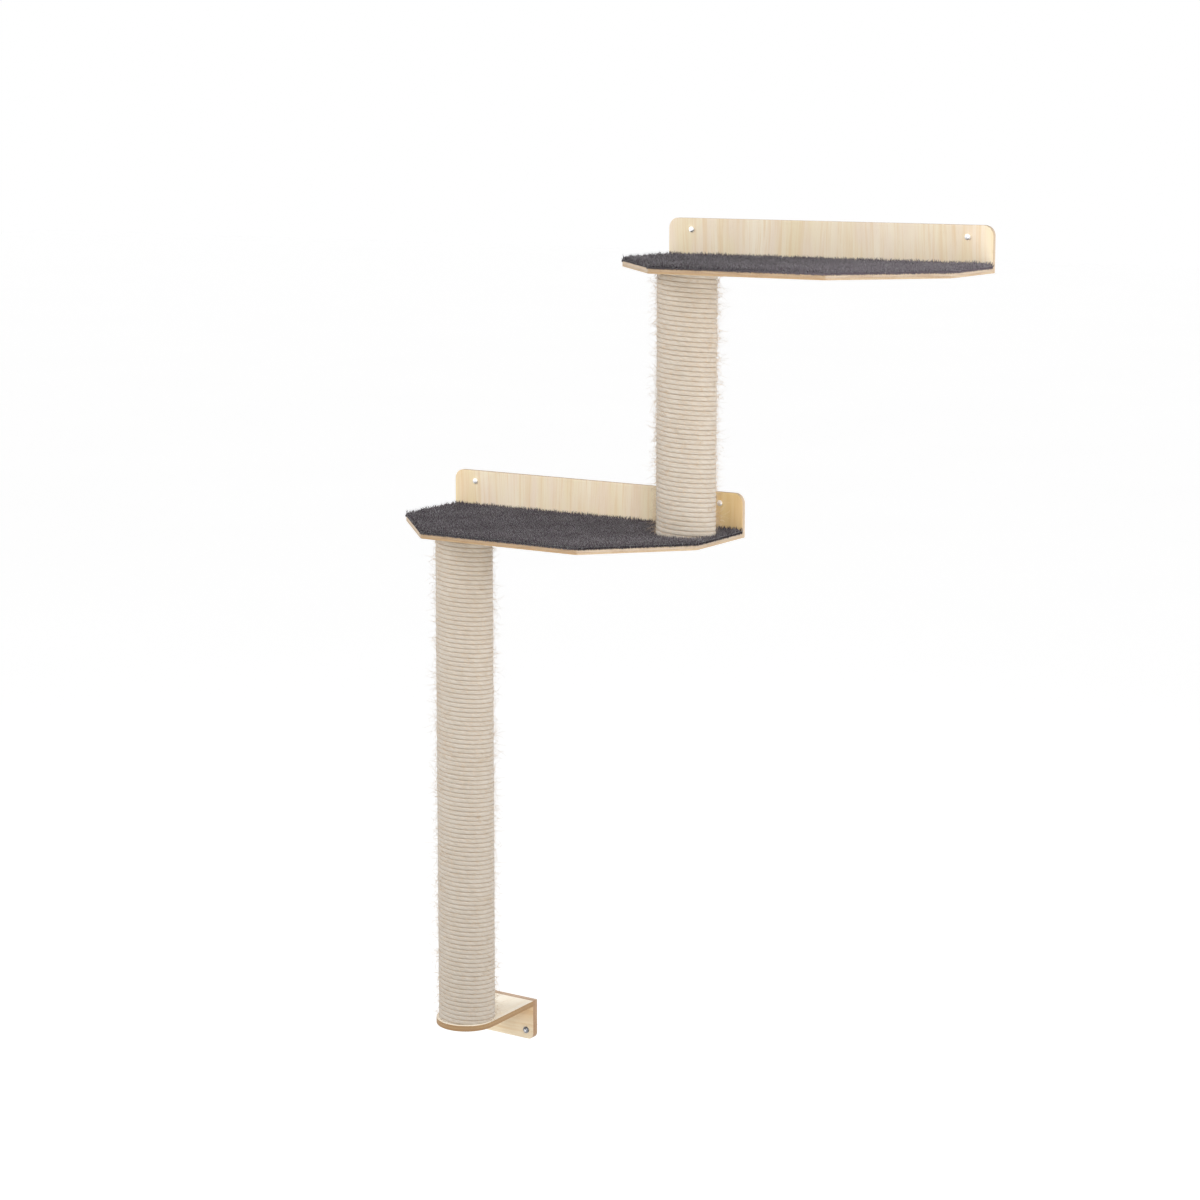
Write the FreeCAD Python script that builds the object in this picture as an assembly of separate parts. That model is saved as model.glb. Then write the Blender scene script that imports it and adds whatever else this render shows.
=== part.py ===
import FreeCAD, Part
import math
import os

# Cat climbing wall: two plywood shelves with carpet on top, held by rope-wound posts.
# X runs along the wall to the right, Y goes into the wall, Z is up. The wall is the plane Y = 0.
# The origin lies on the wall, midway between the two wall screws of the lower shelf.

os.makedirs("parts", exist_ok=True)

# Shelf: board, back panel and carpet, in millimetres
shelf_length = 591.0
shelf_depth = 305.0
front_cut_along = 140.0
front_cut_deep = 148.0
board_corner_radius = 10.0
board_thickness = 9.0
panel_height = 75.0
panel_thickness = 8.0
panel_corner_radius = 17.0
arris_radius = 0.6
carpet_thickness = 6.5
carpet_overhang = 1.5
carpet_edge_radius = 2.5
carpet_clearance = 0.3

# Where the shelves, posts and bracket stand to each other
upper_shelf_rise = 458.0
bracket_drop = 884.0
lower_post_from_left_end = 113.5
lower_post_from_wall = 142.0
upper_post_from_right_end = 61.0
upper_post_from_wall = 91.0
upper_shelf_past_post = 85.0

# Posts
tube_diameter = 84.0
tube_wall = 5.0
rope_diameter = 8.0
plug_thickness = 20.0
press_clearance = 0.1

# One turn of rope in outline: shares of the turn's pitch, and of the rope's diameter above the tube
rope_turn_shares = ((0.0, 0.6), (0.17, 0.87), (0.5, 1.0), (0.83, 0.87))

# Wall bracket
bracket_rim = 4.5
bracket_plate_thickness = 10.5
bracket_back_height = 73.0
bracket_back_thickness = 12.5
bracket_corner_radius = 11.0

# Wall screws, with pan heads
wall_screw_length = 40.0
wall_screw_diameter = 5.0
wall_screw_neck_diameter = 4.4
wall_screw_tip = 7.0
wall_head_diameter = 10.0
wall_head_height = 3.2
wall_head_side = 1.1
wall_head_shoulder_shares = (0.78, 0.72)
cross_recess_length = 4.6
cross_recess_width = 1.1
cross_recess_depth = 1.7
wall_hole_clearance = 0.3
panel_hole_from_end = 44.0
panel_hole_from_underside = 56.0
bracket_hole_from_middle = 39.0
bracket_hole_from_top = 57.0
wall_washer_diameter = 12.0
wall_washer_thickness = 1.2

# Countersunk screws that hold each plate on its back
flat_screw_length = 30.0
flat_screw_diameter = 3.5
flat_screw_tip = 4.0
flat_head_diameter = 7.0
flat_head_height = 2.4
flat_recess_length = 3.6
flat_recess_width = 0.9
flat_recess_depth = 1.2

# Where the countersunk screws stand, as shares of the half width of what they hold
panel_screw_shares = (-0.8, 0.0, 0.8)
bracket_screw_shares = (-0.55, 0.55)

# Bolts, washers and tee nuts of the posts
bolt_diameter = 8.0
bolt_length = 35.0
bolt_end_chamfer = 1.0
sunk_head_diameter = 16.0
sunk_head_height = 4.4
socket_across_flats = 5.0
socket_depth = 2.8
hex_head_across_flats = 13.0
hex_head_height = 5.3
bolt_washer_diameter = 24.0
bolt_washer_thickness = 1.6
tee_barrel_diameter = 10.0
tee_barrel_length = 11.0
tee_flange_diameter = 20.0
tee_flange_thickness = 1.5

# Nails that hold the tube on its plugs
nail_diameter = 1.6
nail_length = 16.0
nail_count = 4

# One length past a face, for every cut, and how near two places count as one
overrun = 2.0
same_place = 0.1

# Sizes and places worked out from the ones above
tube_radius = tube_diameter / 2
post_radius = tube_radius + rope_diameter
plug_radius = tube_radius - tube_wall - press_clearance
bolt_radius = bolt_diameter / 2
bolt_hole_radius = bolt_radius + wall_hole_clearance
bracket_radius = post_radius + bracket_rim
lower_left = -shelf_length / 2
lower_base = -panel_hole_from_underside
upper_base = lower_base + upper_shelf_rise
lower_post_at = (lower_left + lower_post_from_left_end, -lower_post_from_wall)
upper_post_at = (lower_left + shelf_length - upper_post_from_right_end, -upper_post_from_wall)
upper_left = upper_post_at[0] - upper_shelf_past_post
bracket_top = lower_base - bracket_drop

INTO_WALL = FreeCAD.Vector(0, 1, 0)
UP = FreeCAD.Vector(0, 0, 1)
DOWN = FreeCAD.Vector(0, 0, -1)


def at(x, y, z):
    return FreeCAD.Vector(x, y, z)


def write(shape, node):
    """Writes one named piece, and says how many solids it has."""
    solids = shape.Solids
    print(node, len(solids), round(sum(s.Volume for s in solids)), all(s.isValid() for s in solids))
    shape.exportStep("parts/" + node + ".step")


def rounded_wire(corners):
    """A closed wire through flat corners (point, radius), with a tangent arc at each radius."""
    edges, ends = [], []
    for i, (point, radius) in enumerate(corners):
        back = (corners[i - 1][0] - point).normalize()
        ahead = (corners[(i + 1) % len(corners)][0] - point).normalize()
        if radius == 0:
            ends.append((point, point, None))
            continue
        half = back.getAngle(ahead) / 2
        middle = point + (back + ahead).normalize() * (radius / math.sin(half) - radius)
        reach = radius / math.tan(half)
        ends.append((point + back * reach, point + ahead * reach, middle))
    for i, (start, end, middle) in enumerate(ends):
        if middle is not None:
            edges.append(Part.Arc(start, middle, end).toShape())
        edges.append(Part.makeLine(end, ends[(i + 1) % len(ends)][0]))
    return Part.Wire(edges)


def prism(wire, direction):
    return Part.Face(wire).extrude(direction)


def rod(radius, length, point, direction):
    return Part.makeCylinder(radius, length, point, direction)


def spun(outline, point, direction):
    """A solid of revolution: the outline is (radius, height) points, turned about +Z, then aimed."""
    points = [at(r, 0, h) for r, h in outline]
    face = Part.Face(Part.makePolygon(points + points[:1]))
    return aimed(face.revolve(at(0, 0, 0), UP, 360), point, direction)


def aimed(shape, point, direction):
    """Turns a shape drawn about +Z to the direction, and moves its origin to the point."""
    turned = shape.copy()
    turned.Placement = FreeCAD.Placement(point, FreeCAD.Rotation(UP, direction))
    return turned


def eased(solid, wanted, radius):
    """Rounds the edges for which wanted(middle of the edge) is true."""
    edges = [e for e in solid.Edges if wanted(e.CenterOfMass)]
    return solid.makeFillet(radius, edges)


def near(a, b):
    return abs(a - b) < same_place


def shelf_outline(left, base, grow, back):
    """The board's plan, grown outwards by a margin at its free sides, with its rear side at the given Y."""
    lean = math.hypot(front_cut_along, front_cut_deep)
    side_shift = grow * (lean - front_cut_deep) / front_cut_along
    front_shift = grow * (lean - front_cut_along) / front_cut_deep
    x0, x1 = left - grow, left + shelf_length + grow
    side_y = front_cut_deep - shelf_depth - side_shift
    front_x0 = left + front_cut_along - front_shift
    front_x1 = left + shelf_length - front_cut_along + front_shift
    front_y = -shelf_depth - grow
    radius = board_corner_radius + grow
    return rounded_wire(
        [
            (at(x0, back, base), 0),
            (at(x0, side_y, base), radius),
            (at(front_x0, front_y, base), radius),
            (at(front_x1, front_y, base), radius),
            (at(x1, side_y, base), radius),
            (at(x1, back, base), 0),
        ]
    )


def cross_recess(length, width, depth):
    """The cross that a screwdriver fits, cut down from Z = 0."""
    bar = Part.makeBox(length, width, depth + overrun, at(-length / 2, -width / 2, -depth))
    other = Part.makeBox(width, length, depth + overrun, at(-width / 2, -length / 2, -depth))
    return bar.fuse(other)


def wall_screw(point, behind):
    """A pan-head screw: its head bears at the point, and the wall starts at the distance behind it."""
    head, side, neck = wall_head_diameter / 2, wall_head_side, wall_screw_neck_diameter / 2
    thread = wall_screw_diameter / 2
    out, up = wall_head_shoulder_shares
    profile = [
        Part.makeLine(at(0, 0, wall_head_height), at(0, 0, -wall_screw_length)),
        Part.makeLine(at(0, 0, -wall_screw_length), at(thread, 0, wall_screw_tip - wall_screw_length)),
        Part.makeLine(at(thread, 0, wall_screw_tip - wall_screw_length), at(thread, 0, -behind)),
        Part.makeLine(at(thread, 0, -behind), at(neck, 0, -behind)),
        Part.makeLine(at(neck, 0, -behind), at(neck, 0, 0)),
        Part.makeLine(at(neck, 0, 0), at(head, 0, 0)),
        Part.makeLine(at(head, 0, 0), at(head, 0, side)),
        Part.Arc(
            at(head, 0, side),
            at(head * out, 0, side + (wall_head_height - side) * up),
            at(0, 0, wall_head_height),
        ).toShape(),
    ]
    body = Part.Face(Part.Wire(profile)).revolve(at(0, 0, 0), UP, 360)
    recess = cross_recess(cross_recess_length, cross_recess_width, cross_recess_depth)
    recess.translate(at(0, 0, wall_head_height))
    return aimed(body.cut(recess), point, -INTO_WALL)


def flat_screw(point):
    """A countersunk screw whose flat head lies at the point, driven towards the room from behind."""
    head, shank, length = flat_head_diameter / 2, flat_screw_diameter / 2, flat_screw_length
    body = spun(
        [
            (0, 0),
            (head, 0),
            (shank, -flat_head_height),
            (shank, flat_screw_tip - length),
            (0, -length),
        ],
        at(0, 0, 0),
        UP,
    )
    recess = cross_recess(flat_recess_length, flat_recess_width, flat_recess_depth)
    return aimed(body.cut(recess), point, INTO_WALL)


def flat_screw_seat(point):
    """What a countersunk screw cuts away, with room all round it."""
    gap = press_clearance
    head, shank = flat_head_diameter / 2 + gap, flat_screw_diameter / 2 + gap
    return spun(
        [
            (0, overrun),
            (head, overrun),
            (head, 0),
            (shank, -flat_head_height - gap),
            (shank, -flat_screw_length - gap),
            (0, -flat_screw_length - gap),
        ],
        point,
        INTO_WALL,
    )


def flat_screw_points(middle, half_width, height, shares):
    return [at(middle + half_width * share, 0, height) for share in shares]


def hexagon(across_flats, height, base):
    """A six-sided block about +Z, standing on the given height."""
    corner = across_flats / math.sqrt(3)
    turns = [math.tau / 6 * i for i in range(6)]
    points = [at(corner * math.cos(t), corner * math.sin(t), base) for t in turns]
    return prism(Part.makePolygon(points + points[:1]), UP * height)


def bolt_shank(top):
    """The plain shank of a bolt from the given height down, chamfered at its end."""
    radius, end = bolt_radius, top - bolt_length
    return [(radius, end + bolt_end_chamfer), (radius - bolt_end_chamfer, end), (0, end)]


def sunk_bolt(point):
    """A flat-head bolt that points down, with its head's face at the point and a hexagon socket."""
    outline = [(0, 0), (sunk_head_diameter / 2, 0), (bolt_radius, -sunk_head_height)] + bolt_shank(0)
    socket = hexagon(socket_across_flats, socket_depth + overrun, -socket_depth)
    return aimed(spun(outline, at(0, 0, 0), UP).cut(socket), point, UP)


def sunk_bolt_seat(point):
    """The hole and countersink for a flat-head bolt."""
    gap = wall_hole_clearance
    outline = [
        (0, overrun),
        (sunk_head_diameter / 2 + gap, overrun),
        (sunk_head_diameter / 2 + gap, 0),
        (bolt_hole_radius, -sunk_head_height),
        (bolt_hole_radius, -board_thickness - overrun),
        (0, -board_thickness - overrun),
    ]
    return spun(outline, point, UP)


def hex_bolt(point):
    """A hexagon-head bolt that points up, with the underside of its head at the point."""
    shank = spun([(0, 0), (bolt_radius, 0)] + bolt_shank(0), at(0, 0, 0), UP)
    head = hexagon(hex_head_across_flats, hex_head_height, 0)
    corner = hex_head_across_flats / math.sqrt(3)
    lean = (corner - hex_head_across_flats / 2) / math.sqrt(3)
    crown = spun(
        [
            (0, 0),
            (corner, 0),
            (corner, hex_head_height - lean),
            (hex_head_across_flats / 2, hex_head_height),
            (0, hex_head_height),
        ],
        at(0, 0, 0),
        UP,
    )
    return aimed(head.common(crown).fuse(shank).removeSplitter(), point, DOWN)


def washer(outer_diameter, bore_radius, thickness, point, direction):
    ring = rod(outer_diameter / 2, thickness, point, direction)
    return ring.cut(rod(bore_radius, thickness, point, direction))


def back_panel(left, base):
    """The upright panel behind a shelf board, with rounded top corners."""
    right, top = left + shelf_length, base + panel_height
    wire = rounded_wire(
        [
            (at(left, 0, base), 0),
            (at(right, 0, base), 0),
            (at(right, 0, top), panel_corner_radius),
            (at(left, 0, top), panel_corner_radius),
        ]
    )
    panel = prism(wire, -INTO_WALL * panel_thickness)
    panel = eased(panel, lambda c: near(c.y, -panel_thickness) and not near(c.z, base), arris_radius)
    for point in panel_wall_holes(left, base):
        panel = panel.cut(wall_hole(point, panel_thickness))
    return cut_all(panel, [flat_screw_seat(p) for p in panel_screw_points(left, base)])


def panel_wall_holes(left, base):
    """Where the two wall screws of a shelf stand, on the wall."""
    height = base + panel_hole_from_underside
    ends = (left + panel_hole_from_end, left + shelf_length - panel_hole_from_end)
    return [at(x, 0, height) for x in ends]


def panel_screw_points(left, base):
    height = base + board_thickness / 2
    return flat_screw_points(left + shelf_length / 2, shelf_length / 2, height, panel_screw_shares)


def wall_hole(point, thickness):
    radius = wall_screw_neck_diameter / 2 + wall_hole_clearance
    return rod(radius, thickness + overrun * 2, point + INTO_WALL * overrun, -INTO_WALL)


def cut_all(shape, tools):
    for tool in tools:
        shape = shape.cut(tool)
    return shape


def shelf_board(left, base, seats):
    """The plywood board, its rear edge on the panel, with the seats of its screws and bolts."""
    board = prism(shelf_outline(left, base, 0, -panel_thickness), UP * board_thickness)
    board = eased(board, lambda c: near(c.z, base) and not near(c.y, -panel_thickness), arris_radius)
    return cut_all(board, seats + [flat_screw_seat(p) for p in panel_screw_points(left, base)])


def carpet(left, base, post_hole):
    """The carpet on a board, a little past its free edges, rounded over at the top."""
    back = -panel_thickness - carpet_clearance
    floor = base + board_thickness
    top = floor + carpet_thickness
    pile = prism(shelf_outline(left, floor, carpet_overhang, back), UP * carpet_thickness)
    pile = eased(pile, lambda c: near(c.z, top) and not near(c.y, back), carpet_edge_radius)
    return cut_all(pile, post_hole)


def build_shelf(name, left, base, seats, post_hole):
    write(back_panel(left, base), name + "_back_panel")
    write(shelf_board(left, base, seats), name + "_shelf_board")
    write(carpet(left, base, post_hole), name + "_carpet")
    screws = [flat_screw(p) for p in panel_screw_points(left, base)]
    write(Part.makeCompound(screws), name + "_panel_screws")
    fronts = [p - INTO_WALL * panel_thickness for p in panel_wall_holes(left, base)]
    screws = [wall_screw(p, panel_thickness) for p in fronts]
    write(Part.makeCompound(screws), name + "_wall_screws")


def rope_sleeve(foot, length):
    """The rope wound on its tube, as a sleeve with one ridge for each turn: lofted circles, four a turn."""
    turns = round(length / rope_diameter)
    pitch = length / turns
    circles = []
    for turn in range(turns):
        for along, out in rope_turn_shares:
            height = (turn + along) * pitch
            circles.append((tube_radius + rope_diameter * out, height))
    circles.append((tube_radius + rope_diameter * rope_turn_shares[0][1], length))
    wires = [Part.Wire(Part.makeCircle(r, foot + UP * h, UP)) for r, h in circles]
    sleeve = Part.makeLoft(wires, True, True)
    print("rope turns", turns, "pitch", round(pitch, 3))
    return sleeve.cut(rod(tube_radius, length, foot, UP))


def nail_rods(foot, length, radius, start, end):
    """The nails of both plugs, or their holes: rods that point at the post's axis, from start to end."""
    rods = []
    for height in (plug_thickness / 2, length - plug_thickness / 2):
        for i in range(nail_count):
            turn = math.tau / nail_count * (i + 1 / 2)
            out = at(math.cos(turn), math.sin(turn), 0)
            rods.append(rod(radius, start - end, foot + UP * height + out * start, -out))
    return rods


def plug(point, inwards, holes):
    """A wooden disc with its outer face at the point, bored for the bolt and the tee nut's barrel."""
    disc = rod(plug_radius, plug_thickness, point, inwards)
    inner = point + inwards * plug_thickness
    gap = press_clearance
    barrel = rod(tee_barrel_diameter / 2 + gap, tee_barrel_length + gap, inner, -inwards)
    return cut_all(disc, [rod(bolt_hole_radius, plug_thickness, point, inwards), barrel] + holes)


def tee_nut(point, inwards):
    """A tee nut with its flange on the plug's inner face, which lies at the point."""
    flange = rod(tee_flange_diameter / 2, tee_flange_thickness, point, inwards)
    barrel = rod(tee_barrel_diameter / 2, tee_barrel_length, point, -inwards)
    reach = tee_barrel_length + tee_flange_thickness
    bore = rod(bolt_radius + press_clearance, reach, point + inwards * tee_flange_thickness, -inwards)
    return flange.fuse(barrel).removeSplitter().cut(bore)


def build_post(name, place, low, high, plate_below):
    """A wound post from one height to another, bolted through the plate below it and the board above it."""
    x, y = place
    foot, head, length = at(x, y, low), at(x, y, high), high - low
    gap, nail_radius, nail_tip = press_clearance, nail_diameter / 2, tube_radius - nail_length
    holes = nail_rods(foot, length, nail_radius + gap, tube_radius, nail_tip - gap)
    tube = rod(tube_radius - gap, length, foot, UP)
    tube = tube.cut(rod(tube_radius - tube_wall, length, foot, UP))
    write(cut_all(tube, holes), name + "_tube")
    write(rope_sleeve(foot, length), name + "_rope")
    write(plug(head, DOWN, holes), name + "_top_plug")
    write(plug(foot, UP, holes), name + "_bottom_plug")
    inner = UP * plug_thickness
    write(Part.makeCompound([tee_nut(head - inner, DOWN), tee_nut(foot + inner, UP)]), name + "_tee_nuts")
    nails = nail_rods(foot, length, nail_radius, tube_radius - gap, nail_tip)
    write(Part.makeCompound(nails), name + "_plug_nails")
    write(sunk_bolt(head + UP * board_thickness), name + "_top_bolt")
    under = foot - UP * plate_below
    write(hex_bolt(under - UP * bolt_washer_thickness), name + "_bottom_bolt")
    ring = washer(bolt_washer_diameter, bolt_hole_radius, bolt_washer_thickness, under, DOWN)
    write(ring, name + "_bottom_washer")


def bracket_plate_screw_points():
    height = bracket_top - bracket_plate_thickness / 2
    return flat_screw_points(lower_post_at[0], bracket_radius, height, bracket_screw_shares)


def bracket_plate():
    """The plate under the lower post: a half disc round the post, run back to the bracket's upright."""
    x, y = lower_post_at
    left, right, base = x - bracket_radius, x + bracket_radius, bracket_top - bracket_plate_thickness
    back = -bracket_back_thickness
    edges = [
        Part.makeLine(at(left, back, base), at(left, y, base)),
        Part.Arc(at(left, y, base), at(x, y - bracket_radius, base), at(right, y, base)).toShape(),
        Part.makeLine(at(right, y, base), at(right, back, base)),
        Part.makeLine(at(right, back, base), at(left, back, base)),
    ]
    plate = prism(Part.Wire(edges), UP * bracket_plate_thickness)
    plate = eased(
        plate,
        lambda c: (near(c.z, base) or near(c.z, bracket_top)) and not near(c.y, back),
        arris_radius,
    )
    hole = rod(bolt_hole_radius, bracket_plate_thickness + overrun * 2, at(x, y, base - overrun), UP)
    return cut_all(plate, [hole] + [flat_screw_seat(p) for p in bracket_plate_screw_points()])


def bracket_wall_points():
    height = bracket_top - bracket_hole_from_top
    middle = lower_post_at[0]
    return [at(middle + side * bracket_hole_from_middle, 0, height) for side in (-1, 1)]


def bracket_back():
    """The bracket's upright on the wall, with rounded lower corners."""
    x = lower_post_at[0]
    left, right, base = x - bracket_radius, x + bracket_radius, bracket_top - bracket_back_height
    wire = rounded_wire(
        [
            (at(left, 0, base), bracket_corner_radius),
            (at(right, 0, base), bracket_corner_radius),
            (at(right, 0, bracket_top), 0),
            (at(left, 0, bracket_top), 0),
        ]
    )
    back = prism(wire, -INTO_WALL * bracket_back_thickness)
    front = -bracket_back_thickness
    back = eased(back, lambda c: near(c.y, front) and not near(c.z, bracket_top), arris_radius)
    holes = [wall_hole(p, bracket_back_thickness) for p in bracket_wall_points()]
    return cut_all(back, holes + [flat_screw_seat(p) for p in bracket_plate_screw_points()])


def build_bracket():
    write(bracket_plate(), "bracket_plate")
    write(bracket_back(), "bracket_back")
    screws = [flat_screw(p) for p in bracket_plate_screw_points()]
    write(Part.makeCompound(screws), "bracket_plate_screws")
    bore = wall_screw_neck_diameter / 2 + wall_hole_clearance
    faces = [p - INTO_WALL * bracket_back_thickness for p in bracket_wall_points()]
    rings = [washer(wall_washer_diameter, bore, wall_washer_thickness, p, -INTO_WALL) for p in faces]
    write(Part.makeCompound(rings), "bracket_wall_washers")
    stack = bracket_back_thickness + wall_washer_thickness
    screws = [wall_screw(p - INTO_WALL * wall_washer_thickness, stack) for p in faces]
    write(Part.makeCompound(screws), "bracket_wall_screws")


def build():
    lower_top, upper_top = lower_base + board_thickness, upper_base + board_thickness
    under, over = at(*upper_post_at, lower_base - overrun), at(*upper_post_at, lower_top - overrun)
    bolt_hole = rod(bolt_hole_radius, board_thickness + overrun * 2, under, UP)
    post_hole = rod(post_radius + carpet_clearance, carpet_thickness + overrun * 2, over, UP)
    lower_seats = [sunk_bolt_seat(at(*lower_post_at, lower_top)), bolt_hole]
    build_shelf("lower", lower_left, lower_base, lower_seats, [post_hole])
    build_shelf("upper", upper_left, upper_base, [sunk_bolt_seat(at(*upper_post_at, upper_top))], [])
    build_post("lower", lower_post_at, bracket_top, lower_base, bracket_plate_thickness)
    build_post("upper", upper_post_at, lower_top, upper_base, board_thickness)
    build_bracket()


build()
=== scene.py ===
import math

import bpy
import numpy as np
from mathutils import Matrix, Vector


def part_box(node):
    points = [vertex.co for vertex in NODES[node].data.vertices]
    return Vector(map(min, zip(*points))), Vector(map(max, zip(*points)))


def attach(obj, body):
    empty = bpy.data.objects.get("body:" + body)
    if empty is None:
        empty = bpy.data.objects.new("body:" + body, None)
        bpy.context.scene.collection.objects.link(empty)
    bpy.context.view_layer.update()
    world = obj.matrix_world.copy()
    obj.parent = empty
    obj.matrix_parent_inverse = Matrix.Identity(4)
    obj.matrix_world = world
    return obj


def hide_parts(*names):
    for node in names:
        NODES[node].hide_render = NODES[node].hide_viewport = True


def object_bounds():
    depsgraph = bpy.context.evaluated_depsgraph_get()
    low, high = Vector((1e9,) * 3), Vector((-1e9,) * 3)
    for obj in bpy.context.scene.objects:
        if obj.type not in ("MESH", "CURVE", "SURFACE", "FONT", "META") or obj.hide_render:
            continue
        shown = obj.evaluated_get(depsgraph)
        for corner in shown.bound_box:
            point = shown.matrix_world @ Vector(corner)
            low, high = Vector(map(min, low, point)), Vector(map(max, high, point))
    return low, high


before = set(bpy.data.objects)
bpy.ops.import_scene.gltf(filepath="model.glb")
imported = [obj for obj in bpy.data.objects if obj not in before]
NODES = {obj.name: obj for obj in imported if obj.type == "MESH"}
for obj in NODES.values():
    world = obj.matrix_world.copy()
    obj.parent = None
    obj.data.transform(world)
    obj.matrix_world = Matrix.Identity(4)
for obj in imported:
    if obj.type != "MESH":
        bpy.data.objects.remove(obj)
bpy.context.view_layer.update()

MM = 0.001
SHELVES = ("lower", "upper")

# The board's plan, which the frame gives only as a box
FRONT_CUT_ALONG = 140 * MM
FRONT_CUT_DEEP = 148 * MM

# Camera, fitted to the photograph: place in metres, turn and tilt in degrees, the rest in its pixels
CAMERA_PLACE = (2.4738, -3.8706, 0.6523)
CAMERA_TURN = 32.859
CAMERA_TILT = 8.138
PHOTO_SIDE = 1200
PHOTO_FOCAL = 2670.0
PHOTO_AXIS = (583.9, 493.8)
SENSOR = 36
CAMERA_REACH = 200

# Lamps: place, target and width in metres, and the power in watts. Most aim at one point
MIDDLE = (0.22, -0.15, -0.1)
LAMPS = {
    "key": ((-2.4, -2.6, 1.7), MIDDLE, 1.6, 70),
    "side": ((2.6, 0.7, 0.5), MIDDLE, 1.2, 33),
    "fill": ((1.5, -1.8, 0.6), MIDDLE, 1.2, 12),
    "bounce": ((1.4, -2.4, -0.7), MIDDLE, 1.4, 2.5),
    "upper_reflector": ((0.95, -0.95, 0.1), (0.27, -0.15, 0.38), 0.5, 2.3),
    "lower_reflector": ((0.4, -0.85, -0.35), (-0.18, -0.15, -0.1), 0.5, 1.1),
}

# Studio: its strength as light, and its floor's depth below the part, half width and glow
AMBIENT = 0.66
FLOOR_DROP = 0.95
FLOOR_REACH = 40
FLOOR_GLOW = 0.42

# Rope. Three lengths of it are wound side by side, as the slope of the photograph's grooves shows
ROPE = 8 * MM
ROPES_ABREAST = 3
ROPE_LAY = 52 * MM
LAY_SHIFT_SHARE = 0.4
ROPE_STRANDS = 3
STRAND_DEPTH = 0.045
STRAND_POWER = 0.6
STRAND_SHADE = 0.4
SQUARENESS = 0.56
GROOVE_GAP = 0.14 * MM
STEPS_PER_TURN = 150
ROPE_END_SHARE = 0.42

# Section of a rope: its points in degrees, and which four of them close an end
SECTION_ANGLES = (-104, -80, -62, -42, -16, 16, 42, 62, 80, 104)
END_CORNERS = (0, 3, 6, 9)

# Groove between turns: the angle where its painted shade starts, and the angle it grows over, in radians
GROOVE_START = 0.9
GROOVE_WIDTH = 0.4

# How unevenly thick the rope is, and how far it drifts up and down, with the wavelengths in metres
WEAR_SHARE = 0.012
WEAR_WAVES = (0.031, 0.083, 0.210)
DRIFT = 0.1 * MM
DRIFT_WAVES = (0.17, 0.43, 1.1)

# Loose fibres on the rope: how many, their shortest and longest, and the points along each
LONG_FIBRES = {"lower": (4200, 6 * MM, 34 * MM, 8), "upper": (3200, 5 * MM, 34 * MM, 8)}
SHORT_FIBRES = {"lower": (2500, 3 * MM, 12 * MM, 4), "upper": (3500, 3 * MM, 12 * MM, 4)}
FIBRE_THICKNESS = (0.28 * MM, 0.54 * MM)
FIBRE_TIP_SHARE = 0.6
FIBRE_ROOT_DEPTH = 0.6 * MM
FIBRE_LENGTH_SPREAD = (1.2, 2.0)
FIBRE_BENDS = (0.5, 0.8, 0.8)
FIBRE_TURNS = (0.8, 1.8)
FIBRE_CURL = (0.8 * MM, 2.6 * MM)
FIBRE_LIFT_SHARE = 0.3
FIBRE_END_GAP = 0.2 * MM

# A direction askew to every axis. Crossed with a hair's line, it gives the hair's sides
ASKEW = (0.31, 0.87, 0.38)

# Carpet backing. Its colour is given as the pile's is: a place along the hair, low in the painted shade at
# its foot, and two values of the hair
BACKING_HEIGHT = 2.6 * MM
BACKING_GRID = (110, 200)
BACKING_BACK_GAP = 0.4 * MM
BACKING_SWELL = 0.5 * MM
SWELL_WAVES_ALONG = (0.011, 0.023)
SWELL_WAVES_DEEP = (0.009, 0.027)
BACKING_SHADE = (0.1, 0.3, 0.5)
POST_GAP = 0.3 * MM
HOLE_SIDES = 96

# Tufts and hairs: where they stand
TUFT_SPACING = 2.0 * MM
HAIR_SPACING = 3.8 * MM
ROW_SHARE = 0.87
JITTER_SHARE = 0.25
PILE_EDGE_GAP = 0.1 * MM
PILE_POST_GAP = 0.2 * MM
PILE_BACK_GAP = 0.9 * MM
TIP_BACK_GAP = 0.2 * MM
ROOT_DEPTH = 0.8 * MM

# Tufts and hairs: how long and thick they are, and by what shares that grows in the band along the edges
TUFT_LENGTH = (3.4 * MM, 5.4 * MM)
TUFT_THICKNESS = (1.2 * MM, 1.8 * MM)
HAIR_LENGTH = (5.0 * MM, 9.5 * MM)
HAIR_THICKNESS = (0.9 * MM, 1.6 * MM)
HAIR_END_SHARE = 0.8
HAIR_TIP_SHARE = 0.76
LENGTH_WAVE_SHARE = 0.08
LENGTH_WAVES = (0.033, 0.092)
EDGE_BAND = 12 * MM
WALL_BAND_SHARE = 0.6
EDGE_LENGTH_SHARE = 0.2
EDGE_THICKNESS_SHARE = 0.5

# Tufts and hairs: how they lean, as shares of their length, in waves along two diagonals and at random
WAVE_LEAN = 0.2
LEAN_WAVES_RISING = (0.061, 0.137)
LEAN_WAVES_FALLING = (0.053, 0.171)
RANDOM_LEAN = 0.28
DROOP_SHARE = 0.25

# Tufts and hairs: what is added to that close to a free edge
CLOSE_BAND = 3 * MM
CLOSE_LEAN = 0.12
CLOSE_DROOP = 0.3
CLOSE_SINK = 1.4 * MM
CLOSE_SHIFT = 0.7 * MM

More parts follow.
